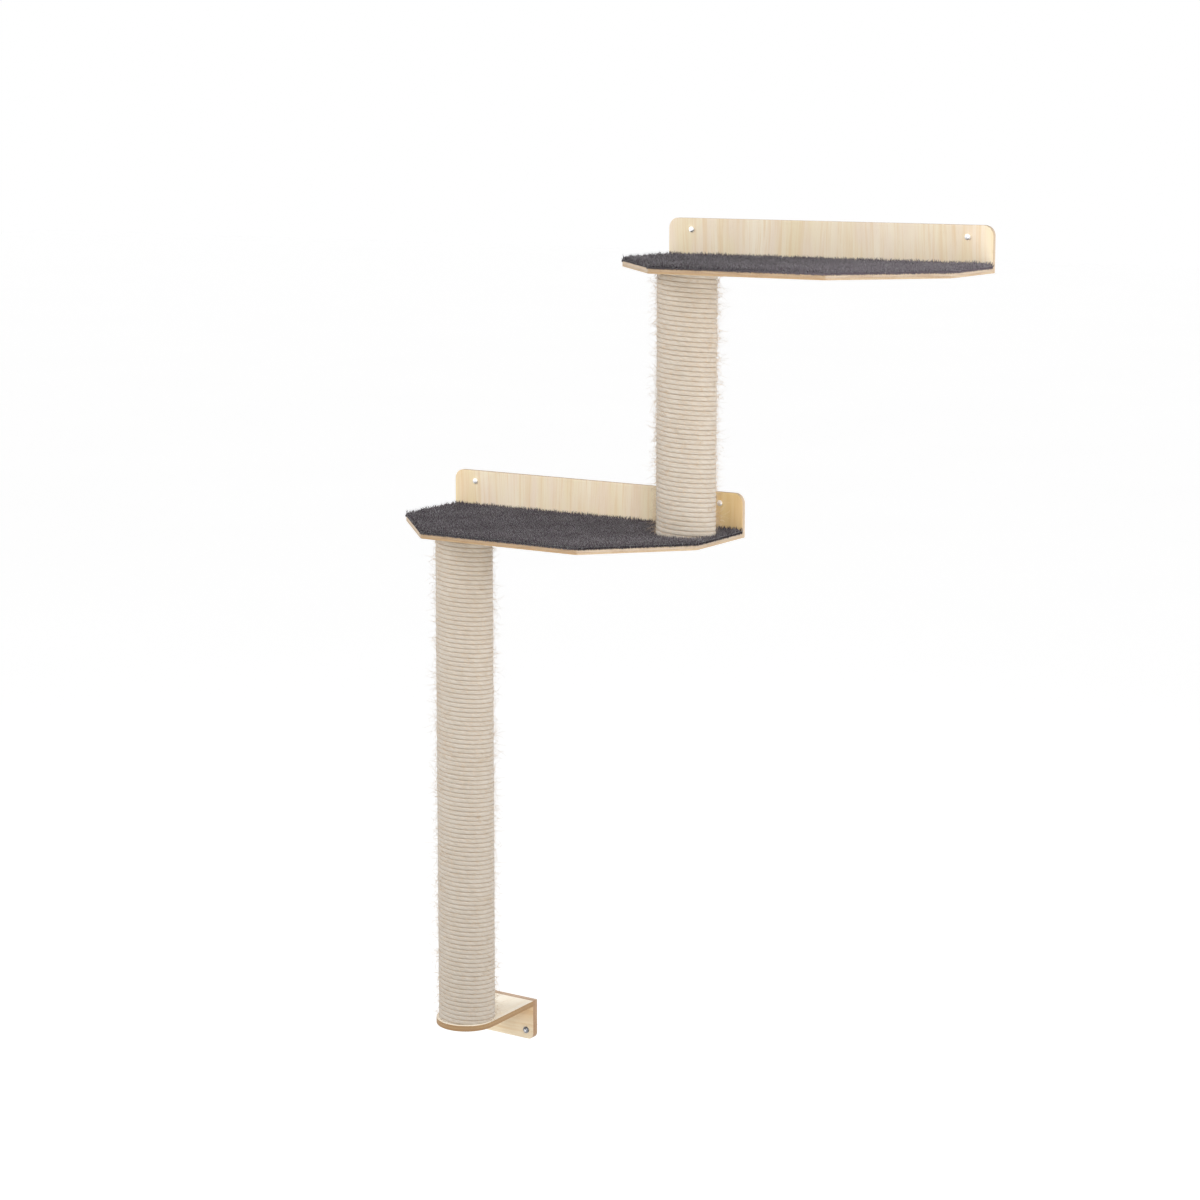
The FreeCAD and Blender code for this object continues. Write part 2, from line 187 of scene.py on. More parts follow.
# Fringe. On the left cut it has only a share of its size, because the photograph shows more board there
FRINGE_SPACING = 0.8 * MM
FRINGE_ROOT_GAP = 0.8 * MM
FRINGE_ROOT_SHIFT = (-0.3 * MM, 0.1 * MM)
FRINGE_REACH = 1.1 * MM
FRINGE_REACH_SHARES = (0.8, 1.2)
FRINGE_DROP = (2.6 * MM, 4.4 * MM)
FRINGE_END_SHARE = 0.9
# The fringe's colour stays low along the hair, in the painted shade of the pile's foot
FRINGE_TIP_SHARE = 0.3
FRINGE_END_GAP = 1.5 * MM
LEFT_CUT_SHARE = 0.4
LEFT_CUT_BLEND = 12 * MM

# Thread of the wall screws: its start inside the wall, gap to the tip, core radius, pitch and height
THREAD_START = 3 * MM
THREAD_TIP_GAP = 8 * MM
THREAD_CORE = 2.45 * MM
THREAD_PITCH = 2.2 * MM
THREAD_HEIGHT = 0.55 * MM

# Half the thread's width as a share of the pitch, its steps in a turn, and how it fades at both ends
THREAD_HALF_SHARE = 0.35
THREAD_STEPS = 20
THREAD_FADE_TURNS = 0.8
THREAD_LEAST_SHARE = 0.02

# Heights of the fine relief on each finish
VENEER_RELIEF = 0.12 * MM
ROPE_RELIEF = 0.3 * MM
PILE_RELIEF = 0.4 * MM
SCRATCH_RELIEF = 0.02 * MM
PLATING_RELIEF = 0.03 * MM
KRAFT_RELIEF = 0.1 * MM
SAWN_RELIEF = 0.15 * MM

# Plies of a board, as shares of its thickness: their starts, blend and wander, and the seam of glue
PLY_STARTS = (0.36, 0.62)
PLY_BLEND = 0.05
PLY_WANDER = 0.05
GLUE_RISE = (0.33, 0.36)
GLUE_FALL = (0.36, 0.40)

# Painted highlight in a screw's recess: squared distance from the axis over which it fades, in square metres
HIGHLIGHT_EDGE = (2.0e-6, 7.0e-6)

# Where the upper carpet turns lighter along X, as painted sheen of grazing light
UPPER_PAINTED_SHEEN = (0.3, 0.72)

# Seeds of the random draws and of the grain
POST_SEEDS = {"lower": 31, "upper": 32}
CARPET_SEEDS = {"lower": 41, "upper": 42}
PANEL_SEEDS = {"lower": 7.0, "upper": 20.0}
BOARD_SEEDS = {"lower": 27.0, "upper": 40.0}
PLATE_SEED = 61
BACK_SEED = 83
FUZZ_SEED_STEP = 9
HAIR_SEED_STEP = 5
FRINGE_SEED_STEP = 11
WEAR_SEED = 5
DRIFT_SEED = 9
SWELL_SEEDS = (3, 4)
LEAN_SEEDS = (11, 12)
LENGTH_SEED = 21

# Places of the colour sockets on a Mix node, whose names repeat
MIX_FACTOR, MIX_FIRST, MIX_SECOND, MIX_RESULT = 0, 6, 7, 2


def tone(red, green, blue):
    """A colour as it looks on a screen, 0 to 255, as the linear colour that a shader takes."""
    parts = (c / 255 for c in (red, green, blue))
    return tuple(c / 12.92 if c <= 0.04045 else ((c + 0.055) / 1.055) ** 2.4 for c in parts) + (1.0,)


BLACK, WHITE = (0, 0, 0, 1), (1, 1, 1, 1)
FLOOR_TONES = (tone(232, 232, 232), tone(238, 238, 238))
UPPER_FACES = (tone(238, 222, 190), tone(245, 232, 210), tone(239, 221, 201), tone(230, 202, 159))
# The lower panel's faces: the upper's, set a little darker as painted shade
LOWER_FACES = (tone(236, 219, 185), tone(243, 230, 208), tone(238, 219, 200), tone(228, 199, 155))
PLATE_FACES = (tone(238, 228, 209), tone(243, 236, 222), tone(237, 225, 207), tone(233, 214, 186))
BACK_FACES = (tone(236, 220, 190), tone(243, 229, 202), tone(233, 213, 183), tone(220, 188, 144))
PORE = tone(190, 160, 122)
SHELF_PLIES = (tone(189, 167, 138), tone(188, 170, 150), tone(199, 179, 153))
PLATE_PLIES = (tone(159, 126, 87), tone(167, 136, 99), tone(161, 129, 90))
BACK_PLIES = (tone(184, 156, 132), tone(194, 170, 148), tone(187, 161, 137))
GLUE = tone(140, 108, 78)
PLY_FIGURE = tone(152, 120, 90)
END_GRAIN = tone(232, 221, 205)
ROPE_BASE, ROPE_DARK, ROPE_PALE = tone(191, 181, 168), tone(185, 174, 159), tone(198, 189, 177)
# Painted warm shade in the rope's grooves and between its strands
ROPE_PAINTED_SHADE = tone(222, 188, 138)
FIBRE_BASE, FIBRE_PALE = tone(190, 162, 128), tone(216, 194, 166)
# Pile colours from foot to tip; the dark at the foot is painted shade within the pile
PILE_TONES = (tone(26, 20, 25), tone(65, 56, 63), tone(112, 100, 109))
# Painted sheen on the upper carpet
PAINTED_SHEEN_TONE = tone(140, 128, 137)
ZINC_TONES = (tone(196, 198, 200), tone(160, 162, 165))
BRIGHT_TONES = (tone(254, 254, 255), tone(246, 247, 250))
# Bracket screws and washers: dark plating as painted shade, bright as a painted highlight
NICKEL_PAINTED_SHADE, NICKEL_PAINTED_HIGHLIGHT = tone(132, 134, 139), tone(250, 250, 252)
KRAFT_TONES = (tone(140, 108, 76), tone(172, 138, 100), tone(190, 158, 120))
SOFTWOOD_TONES = (tone(190, 150, 100), tone(222, 188, 140), tone(205, 165, 112))

# Bands of tint across the grain: a place, a width and a colour, as the veneer takes them
PANEL_TINTS_AND_SHADES = {
    # Warmer wood and painted warm shade by the upper post, then paler wood at the left end
    "lower": ((0.11, 0.12, tone(239, 222, 179)), (-0.225, -0.05, tone(252, 246, 229))),
    "upper": (),
}
# Painted shade of the plate on the bracket back's top: its start above the foot, its height, its colour
BACK_SHADE_RISE = 0.022
BACK_SHADE_WIDTH = 0.03
BACK_PAINTED_SHADE = tone(236, 218, 198)


class Shade:
    """A value that varies over a surface. Sums and products of it add Math nodes to its tree."""

    def __init__(self, nodes, socket):
        self.nodes, self.socket = nodes, socket

    def math(self, operation, *values):
        return self.nodes.node("ShaderNodeMath", {"operation": operation}, values)

    def __add__(self, other):
        return self.math("ADD", self, other)

    def __radd__(self, other):
        return self.math("ADD", other, self)

    def __sub__(self, other):
        return self.math("SUBTRACT", self, other)

    def __rsub__(self, other):
        return self.math("SUBTRACT", other, self)

    def __mul__(self, other):
        return self.math("MULTIPLY", self, other)

    def __rmul__(self, other):
        return self.math("MULTIPLY", other, self)

    def __abs__(self):
        return self.math("ABSOLUTE", self)

    def either(self, other):
        """The larger of two values."""
        return self.math("MAXIMUM", self, other)

    def rise(self, low, high):
        """0 below low, 1 above high, and a smooth step between them."""
        settings = {"interpolation_type": "SMOOTHSTEP"}
        sockets = {"Value": self, "From Min": low, "From Max": high}
        return self.nodes.node("ShaderNodeMapRange", settings, sockets)

    def scaled(self, low, high):
        """Maps 0 to 1 onto low to high."""
        return self.nodes.node("ShaderNodeMapRange", {}, {"Value": self, "To Min": low, "To Max": high})


class Nodes:
    """The nodes of one material or world in the making."""

    def __init__(self, tree):
        self.tree = tree

    def put(self, socket, value):
        """Links a shade to a socket, or gives the socket a plain value."""
        if isinstance(value, Shade):
            self.tree.links.new(value.socket, socket)
        else:
            socket.default_value = value

    def node(self, kind, settings=None, sockets=(), output=0):
        """Adds a node: its settings or a ramp's stops first, then the values or links of its sockets."""
        node = self.tree.nodes.new(kind)
        for key, value in (settings or {}).items():
            if key == "stops":
                for i, (place, colour) in enumerate(value):
                    stops = node.color_ramp.elements
                    stop = stops[i] if i < 2 else stops.new(place)
                    stop.position, stop.color = place, colour
            else:
                setattr(node, key, value)
        for key, value in sockets.items() if isinstance(sockets, dict) else enumerate(sockets):
            self.put(node.inputs[key], value)
        return Shade(self, node.outputs[output])

    def ray(self, kind):
        """1 where a ray of this kind looks, and 0 elsewhere."""
        return self.node("ShaderNodeLightPath", output=f"Is {kind} Ray")


class Finish(Nodes):
    """One material in the making, round a Principled shader whose constants are set at the start.

    The numbers that coordinates are multiplied by in its patterns count blobs or streaks per metre.
    """

    def __init__(self, name, **constants):
        self.material = bpy.data.materials.new(name)
        self.material.use_nodes = True
        super().__init__(self.material.node_tree)
        self.shader = self.tree.nodes["Principled BSDF"]
        for key, value in constants.items():
            self.shader.inputs[key.replace("_", " ")].default_value = value

    def split(self, vector):
        """The three parts of a vector, by name."""
        return {key: self.node("ShaderNodeSeparateXYZ", {}, [vector], key.upper()) for key in "xyz"}

    def place(self):
        """The three object coordinates, in metres."""
        return self.split(self.node("ShaderNodeTexCoord", output="Object"))

    def facing(self):
        """The three parts of the surface's normal."""
        return self.split(self.node("ShaderNodeTexCoord", output="Normal"))

    def attribute(self, name):
        """The three parts of a vector that the mesh holds at its points."""
        return self.split(self.node("ShaderNodeAttribute", {"attribute_name": name}, output="Vector"))

    def noise(self, x, y, z, detail=2.0, roughness=0.5):
        """Cloudy noise from 0 to 1, about one blob for each unit of the coordinates."""
        vector = self.node("ShaderNodeCombineXYZ", {}, (x, y, z))
        sockets = {"Vector": vector, "Scale": 1.0, "Detail": detail, "Roughness": roughness}
        return self.node("ShaderNodeTexNoise", {}, sockets)

    def mix(self, factor, first, second, kind="MIX"):
        """The first colour at factor 0. At factor 1 the second one, or the product of both."""
        settings = {"data_type": "RGBA", "blend_type": kind}
        sockets = {MIX_FACTOR: factor, MIX_FIRST: first, MIX_SECOND: second}
        return self.node("ShaderNodeMix", settings, sockets, MIX_RESULT)

    def shades(self, value, *colours):
        """Colours laid evenly along a value from 0 to 1."""
        last = len(colours) - 1
        stops = [(0.0, colours[0]), (1.0, colours[-1])]
        stops += [(i / last, colour) for i, colour in enumerate(colours[1:-1], 1)]
        return self.node("ShaderNodeValToRGB", {"stops": stops}, [value])

    def bump(self, height, distance, strength=1.0):
        """Fine relief: a height from 0 to 1, over a distance in metres."""
        sockets = {"Strength": strength, "Distance": distance, "Height": height}
        self.put(self.shader.inputs["Normal"], self.node("ShaderNodeBump", {}, sockets))

    def paint(self, **values):
        """Feeds the shader's sockets, and gives back the material."""
        for key, value in values.items():
            self.put(self.shader.inputs[key.replace("_", " ")], value)
        return self.material


def veneer(finish, across, along, colours, seed, tint_and_shade_bands=()):
    """Pale sliced wood: soft blotches, peach streaks that run with the grain, and short pores.

    Each band is a place across the grain, a width and a colour. From there on, over that width, the wood
    turns warmer. Some bands are tints of the wood itself, some painted warm shade. A negative width turns it
    warmer towards the low side.
    """
    straw, cream, blush, peach = colours
    wander = finish.noise(across * 9, along * 7, seed + 9.1, 1.0)
    bent = across + (wander - 0.5) * 0.014
    broad = finish.noise(bent * 14, along * 2.4, seed, 2.0)
    tint = finish.noise(bent * 30, along * 9, seed + 1.9, 2.0)
    streak = finish.noise(bent * 150, along * 6, seed + 3.7, 3.0)
    thread = finish.noise(bent * 420, along * 10, seed + 6.4, 2.0)
    colour = finish.mix(broad.rise(0.34, 0.66), straw, cream)
    colour = finish.mix(tint.rise(0.40, 0.66) * 0.7, colour, blush)
    colour = finish.mix(streak.rise(0.48, 0.74) * 0.55, colour, peach)
    colour = finish.mix(thread.rise(0.48, 0.74) * 0.4, colour, peach)
    # Bands of tint: some are the wood's own, some painted shade
    for start, width, warmth in tint_and_shade_bands:
        warm = (across + (streak - 0.5) * (abs(width) * 0.4)).rise(start, start + width)
        colour = finish.mix(warm * 0.9, colour, warmth, "MULTIPLY")
    pores = finish.noise(across * 1500, along * 55, seed + 5.2, 1.0)
    colour = finish.mix(pores.rise(0.66, 0.74) * 0.2, colour, PORE)
    return colour, thread * 0.6 + pores * 0.4


def plywood(name, node, layers, across, along, face_colours, ply_colours, seed, tint_and_shade_bands=(), end_grain=None):
    """Sliced veneer on the two faces, and three mottled plies on the edges, with a darker seam of glue.

    layers, across and along name the axes through the board, across the grain and along it. The bands of
    tint and painted shade are as the veneer takes them, and end_grain tints the edges that the grain runs
    into.
    """
    finish = Finish(name, Specular_IOR_Level=0.35, Sheen_Weight=0.0)
    low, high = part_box(node)
    axis = "xyz".index(layers)
    place, facing = finish.place(), finish.facing()
    colour, grain = veneer(finish, place[across], place[along], face_colours, seed, tint_and_shade_bands)
    depth = (place[layers] - low[axis]) * (1 / (high[axis] - low[axis]))
    ends = finish.noise(place[across] * 420, place[along] * 420, depth * 3.0, 3.0, 0.6)
    wander = finish.noise(place[across] * 14, place[along] * 14, seed, 1.0)
    depth = depth + (wander - 0.5) * PLY_WANDER
    edge = ply_colours[0]
    for start, ply in zip(PLY_STARTS, ply_colours[1:]):
        edge = finish.mix(depth.rise(start, start + PLY_BLEND), edge, ply)
    seam = depth.rise(*GLUE_RISE) * (1 - depth.rise(*GLUE_FALL))
    edge = finish.mix(seam * 0.6, edge, GLUE)
    figure = finish.noise(place[across] * 26, place[along] * 26, depth * 5.0, 2.0)
    edge = finish.mix((ends * 0.4 + figure * 0.6).rise(0.42, 0.66) * 0.5, edge, PLY_FIGURE)
    if end_grain:
        paler = finish.mix(1.0, edge, end_grain, "MULTIPLY")
        edge = finish.mix(abs(facing[along]).rise(0.75, 0.95), edge, paler)
    side = 1 - abs(facing[layers]).rise(0.55, 0.85)
    colour = finish.mix(side, colour, edge)
    rough = (grain * 0.5 + ends * 0.5).scaled(0.46, 0.66)
    finish.bump(grain * (1 - side) + ends * side, VENEER_RELIEF, 0.5)
    return finish.paint(Base_Color=colour, Roughness=rough)


def rope_finish(name):
    """Natural twisted fibre: streaks along the strands; painted warm shade where strands and turns meet."""
    finish = Finish(name, Specular_IOR_Level=0.25, Sheen_Weight=0.25, Sheen_Roughness=0.5)
    lay = finish.attribute("lay")
    slant = lay["y"] - lay["x"] * 0.45
    hair = finish.noise(lay["x"] * 160, slant * 1500, 0.3, 3.0, 0.6)
    patch = finish.noise(lay["x"] * 60, slant * 300, 4.2, 2.0)
    colour = finish.shades((patch * 0.5 + hair * 0.5).rise(0.3, 0.7), ROPE_DARK, ROPE_BASE, ROPE_PALE)
    # Painted warm shade in the valleys and grooves
    colour = finish.mix(lay["z"].rise(0.3, 1.0) * 0.8, colour, ROPE_PAINTED_SHADE)
    finish.bump(hair, ROPE_RELIEF, 0.6)
    return finish.paint(Base_Color=colour, Roughness=hair.scaled(0.72, 0.92))


def fibre_finish(name):
    """Loose fibres of the rope: paler towards the tip, and no two equally dull."""
    finish = Finish(name, Specular_IOR_Level=0.25, Sheen_Weight=0.25, Sheen_Roughness=0.5)
    lay = finish.attribute("lay")
    colour = finish.mix(lay["x"], FIBRE_BASE, FIBRE_PALE)
    return finish.paint(Base_Color=colour, Roughness=lay["y"].scaled(0.5, 0.7))


def carpet_finish(name, painted_sheen=None):
    """Cut pile: dark at its foot as painted shade within the pile, greyer at its tips, no two tufts alike.

    Two places along X, if given, bound a stretch where the pile turns lighter: painted sheen.
    """
    finish = Finish(name, Specular_IOR_Level=0.2, Sheen_Weight=0.5, Sheen_Roughness=0.4)
    root, middle, tip = PILE_TONES
    tuft = finish.attribute("tuft")
    place = finish.place()
    patch = finish.noise(place["x"] * 45, place["y"] * 45, 1.7, 2.0)
    grain = finish.noise(place["x"] * 900, place["y"] * 900, place["z"] * 500, 2.0)
    colour = finish.shades(tuft["x"], root, middle, tip)
    shift = tuft["y"] * 0.7 + patch * 0.2 + grain * 0.1
    colour = finish.mix(shift.rise(0.6, 0.9) * 0.3, colour, tip)
    colour = finish.mix((1 - shift.rise(0.1, 0.42)) * 0.35, colour, root)
    if painted_sheen:
        # Painted sheen between the two places along X
        colour = finish.mix(place["x"].rise(*painted_sheen) * 0.45, colour, PAINTED_SHEEN_TONE)
    finish.bump(grain, PILE_RELIEF, 0.6)
    return finish.paint(Base_Color=colour, Roughness=grain.scaled(0.8, 0.98))


def metal(name, light, dark, rough):
    """Plated steel: slight clouding, and fine scratches across the depth."""
    finish = Finish(name, Metallic=1.0)
    place = finish.place()
    cloud = finish.noise(place["x"] * 260, place["y"] * 260, place["z"] * 260, 3.0)
    scratch = finish.noise(place["x"] * 60, place["y"] * 900, place["z"] * 60, 2.0)
    colour = finish.mix(cloud.rise(0.35, 0.75), light, dark)
    finish.bump(scratch, SCRATCH_RELIEF, 0.35)
    return finish.paint(Base_Color=colour, Roughness=(cloud * 0.6 + scratch * 0.4).scaled(*rough))


def metal_with_painted_light(name, screws):
    """Plating darkened as painted shade, with a painted highlight in the recess near either screw's axis."""
    finish = Finish(name, Metallic=1.0)
    place = finish.place()
    cloud = finish.noise(place["x"] * 900, place["y"] * 900, place["z"] * 900, 2.0)
    highlights = []
    for x, z in screw_places(screws):
        across, up = place["x"] - float(x), place["z"] - float(z)
        highlights.append(1 - (across * across + up * up).rise(*HIGHLIGHT_EDGE))
    colour = finish.mix(sum(highlights), NICKEL_PAINTED_SHADE, NICKEL_PAINTED_HIGHLIGHT)
    finish.bump(cloud, PLATING_RELIEF, 0.4)
    return finish.paint(Base_Color=colour, Roughness=cloud.scaled(0.28, 0.45))


def paper_tube(name):
    """Wound kraft board: broad bands round the tube, and flecks."""
    finish = Finish(name, Specular_IOR_Level=0.2)
    place = finish.place()
    fleck = finish.noise(place["x"] * 700, place["y"] * 700, place["z"] * 260, 3.0)
    band = finish.noise(place["x"] * 9, place["y"] * 9, place["z"] * 22, 1.0)
    colour = finish.shades(fleck * 0.6 + band * 0.4, *KRAFT_TONES)
    finish.bump(fleck, KRAFT_RELIEF, 0.4)
    return finish.paint(Base_Color=colour, Roughness=fleck.scaled(0.75, 0.95))


def plug_wood(name):
    """Sawn softwood discs, with growth rings that run across the post."""
    finish = Finish(name, Specular_IOR_Level=0.3)
    place = finish.place()
    ring = finish.noise(place["x"] * 190, place["y"] * 12, place["z"] * 12, 3.0)
    fuzz = finish.noise(place["x"] * 1100, place["y"] * 1100, place["z"] * 1100, 2.0)
    colour = finish.shades(ring, *SOFTWOOD_TONES)
    finish.bump(fuzz, SAWN_RELIEF, 0.5)
    return finish.paint(Base_Color=colour, Roughness=fuzz.scaled(0.6, 0.85))


def mesh_piece(name, points, faces, material, attributes=None):
    """Puts arrays of points and of faces with equally many corners into a new piece at the origin."""
    mesh = bpy.data.meshes.new(name)
    mesh.vertices.add(len(points))
    mesh.vertices.foreach_set("co", np.ascontiguousarray(points, np.float32).ravel())
    count, corners = faces.shape
    mesh.loops.add(count * corners)
    mesh.loops.foreach_set("vertex_index", np.ascontiguousarray(faces, np.int32).ravel())
    mesh.polygons.add(count)
    mesh.polygons.foreach_set("loop_start", np.arange(0, count * corners, corners, dtype=np.int32))
    mesh.polygons.foreach_set("use_smooth", np.ones(count, bool))
    for key, values in (attributes or {}).items():
        layer = mesh.attributes.new(key, "FLOAT_VECTOR", "POINT")
        layer.data.foreach_set("vector", np.ascontiguousarray(values, np.float32).ravel())
    mesh.update(calc_edges=True)
    mesh.validate()
    mesh.materials.append(material)
    piece = bpy.data.objects.new(name, mesh)
    bpy.context.scene.collection.objects.link(piece)
    return piece


def grid_quads(rows, columns, wrap):
    """The faces between rows and columns of points; with wrap, the last column joins the first."""
    across = columns if wrap else columns - 1
    r, c = np.meshgrid(np.arange(rows - 1), np.arange(across), indexing="ij")
    here = (r * columns + c).ravel()
    beside = (r * columns + (c + 1) % columns).ravel()
    return np.stack([here, beside, beside + columns, here + columns], 1)


def ripple(values, seed, waves):
    """A smooth wandering line: sines of a few wavelengths with seeded phases, between about -1 and 1."""
    phases = np.random.default_rng(seed).uniform(0, math.tau, len(waves))
    return sum(np.sin(values * math.tau / wave + phase) for wave, phase in zip(waves, phases)) / len(waves)


class Post:
    """A rope-wound post: its axis, ends and radius, read from the frame, and its count of turns."""

    def __init__(self, name):
        low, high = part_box(name + "_rope")
        self.name = name
        self.x, self.y = (low.x + high.x) / 2, (low.y + high.y) / 2
        self.low, self.high = low.z, high.z
        self.radius = (high.x - low.x) / 2
        self.turns = round((self.high - self.low) / ROPE)
        self.pitch = (self.high - self.low) / self.turns

    def around(self, angle, radius, height):
        """Points at an angle, a distance and a height about the post's axis."""
        return np.stack(
            [self.x + radius * np.cos(angle), self.y + radius * np.sin(angle), height + 0 * angle], -1
        )


def rope_run(post, name, rank, material):
    """One of the ropes that are wound side by side; rank counts them from the lowest.

    Its middle line is a left-handed helix: the angle falls by one turn while the height rises by one pitch
    for each rope abreast. Round it lies a section squeezed square by its neighbours: cosine and sine of the
    sweep, each raised to the power that SQUARENESS gives. Its radius has three lobes that turn once in each
    length of lay. At the ends of the post the section is cut off flat.
    """
    first = (-ROPE_END_SHARE - rank) / ROPES_ABREAST
    last = (post.turns + ROPE_END_SHARE - rank) / ROPES_ABREAST
    t = np.arange(round((last - first) * STEPS_PER_TURN) + 1) / STEPS_PER_TURN + first
    middle = post.radius - ROPE / 2
    along = t * math.tau * middle + rank * LAY_SHIFT_SHARE * ROPE_LAY
    sweep = np.radians(SECTION_ANGLES)
    across, up = (np.sign(f) * np.abs(f) ** SQUARENESS for f in (np.cos(sweep), np.sin(sweep)))
    lobe = np.abs(np.sin(ROPE_STRANDS / 2 * (sweep[None, :] + math.tau * along[:, None] / ROPE_LAY)))
    valley = 1 - lobe ** STRAND_POWER
    groove = np.clip((np.abs(sweep) - GROOVE_START) / GROOVE_WIDTH, 0, 1)
    worn = 1 + WEAR_SHARE * ripple(along, WEAR_SEED, WEAR_WAVES)[:, None]
    radius = ROPE / 2 * worn * (1 - STRAND_DEPTH * valley)
    drift = DRIFT * ripple(along, DRIFT_SEED, DRIFT_WAVES)
    height = post.low + post.pitch * (t * ROPES_ABREAST + rank) + drift
    reach = (post.pitch - GROOVE_GAP) / 2
    rise = np.clip(height[:, None] + reach * up, post.low, post.high)
    out = middle + radius * across
    points = post.around(-math.tau * t[:, None] + 0 * out, out, rise)
    # Painted shade for the colour: in the valleys between strands and the grooves between turns
    shade = np.maximum(valley * STRAND_SHADE, groove)
    lay = np.stack([along[:, None] + 0 * out, sweep * ROPE / 2 + 0 * out, shade], -1)
    foot, top = ([row * len(sweep) + corner for corner in END_CORNERS] for row in (0, len(t) - 1))
    faces = np.concatenate([grid_quads(len(t), len(sweep), True), np.array([foot, top[::-1]])])
    return mesh_piece(name, points.reshape(-1, 3), faces, material, {"lay": lay.reshape(-1, 3)})


def rope_runs(post, material):
    """The whole winding: each of the ropes that lie side by side."""
    names = [f"{post.name}_rope_run_{rank + 1}" for rank in range(ROPES_ABREAST)]
    return [rope_run(post, name, rank, material) for rank, name in enumerate(names)]


def spikes(name, roots, steps, widths, material, key, values, tip_share=1.0):
    """Many thin tapered hairs: three-sided, through the points of each hair's line, closed at both ends.

    roots is (hairs, 3), steps is (hairs, rings, 3) from the root, widths is (hairs, rings - 1). The
    attribute holds the place along the hair, from 0 at the root to tip_share, and two random values of the
    hair.
    """
    count, rings = steps.shape[:2]
    lines = roots[:, None, :] + steps
    ahead = np.gradient(lines, axis=1)
    ahead /= np.linalg.norm(ahead, axis=2, keepdims=True)
    side = np.cross(ahead, np.array(ASKEW))
    side /= np.linalg.norm(side, axis=2, keepdims=True)
    other = np.cross(ahead, side)
    turns = np.arange(3)[:, None] * math.tau / 3
    spread = np.cos(turns) * side[:, :-1, None] + np.sin(turns) * other[:, :-1, None]
    ring = lines[:, :-1, None] + spread * widths[:, :, None, None] / 2
    points = np.concatenate([ring.reshape(count, -1, 3), lines[:, -1:]], 1)
    pattern = [[2, 1, 0]]
    for r in range(rings - 2):
        for c in range(3):
            a, b = r * 3 + c, r * 3 + (c + 1) % 3
            pattern += [[a, b, b + 3], [a, b + 3, a + 3]]
    base, tip = (rings - 2) * 3, (rings - 1) * 3
    pattern += [[base + c, base + (c + 1) % 3, tip] for c in range(3)]
    faces = (np.array(pattern)[None] + np.arange(count)[:, None, None] * points.shape[1]).reshape(-1, 3)
    level = np.concatenate([np.repeat(np.arange(rings - 1), 3), [rings - 1]]) / (rings - 1) * tip_share
    level, values = np.broadcast_to(level, points.shape[:2]), np.repeat(values[:, None], points.shape[1], 1)
    data = np.concatenate([level[..., None], values], 2)
    return mesh_piece(name, points.reshape(-1, 3), faces, material, {key: data.reshape(-1, 3)})


def fibres(post, name, sizes, material, seed):
    """Loose ends that stand out of the rope, as many and as long as sizes says.

    Each follows a cubic curve a t + b t2 + c t3 away from the surface, with a loose spiral about it that
    widens with t. Then it is lifted off the surface and scaled to its length.
    """
    rng = np.random.default_rng(seed)
    count, shortest, longest, rings = sizes
    angle = rng.uniform(0, math.tau, count)
    height = rng.uniform(post.low, post.high, count)
    roots = post.around(angle, np.full(count, post.radius - FIBRE_ROOT_DEPTH), height)
    out = post.around(angle, np.ones(count), 0) - (post.x, post.y, 0)
    length = shortest + (longest - shortest) * rng.beta(*FIBRE_LENGTH_SPREAD, count)
    first, bend, curl = rng.normal(0, 1, (3, count, 3)) * np.array(FIBRE_BENDS)[:, None, None]
    first += out
    t = np.linspace(0, 1, rings)[None, :, None]
    steps = first[:, None] * t + bend[:, None] * t ** 2 + curl[:, None] * t ** 3
    swing = rng.uniform(0, math.tau, (count, 1, 1)) + rng.uniform(*FIBRE_TURNS, (count, 1, 1)) * math.tau * t
    wide = (rng.uniform(*FIBRE_CURL, count) / length)[:, None, None] * t
    side, other = np.cross(out, (0, 0, 1))[:, None], np.array([0, 0, 1.0])
    steps += wide * (np.cos(swing) * side + np.sin(swing) * other)
    far = (steps * out[:, None]).sum(2, keepdims=True)
    steps += out[:, None] * (np.maximum(far, FIBRE_LIFT_SHARE * t) - far)
    drawn = np.linalg.norm(np.diff(steps, axis=1), axis=2).sum(1)
    steps *= (length / drawn)[:, None, None]
    height = height[:, None]
    ends = post.low + FIBRE_END_GAP, post.high - FIBRE_END_GAP
    steps[..., 2] = np.clip(height + steps[..., 2], *ends) - height
    widths = np.outer(rng.uniform(*FIBRE_THICKNESS, count), np.linspace(1.0, FIBRE_TIP_SHARE, rings - 1))
    piece = spikes(name, roots, steps, widths, material, "lay", rng.uniform(0, 1, (count, 2)))
    # They are thicker than real fibres, so that they show from afar, and so they cast no lamp's shadow
    piece.visible_shadow = False
    return piece


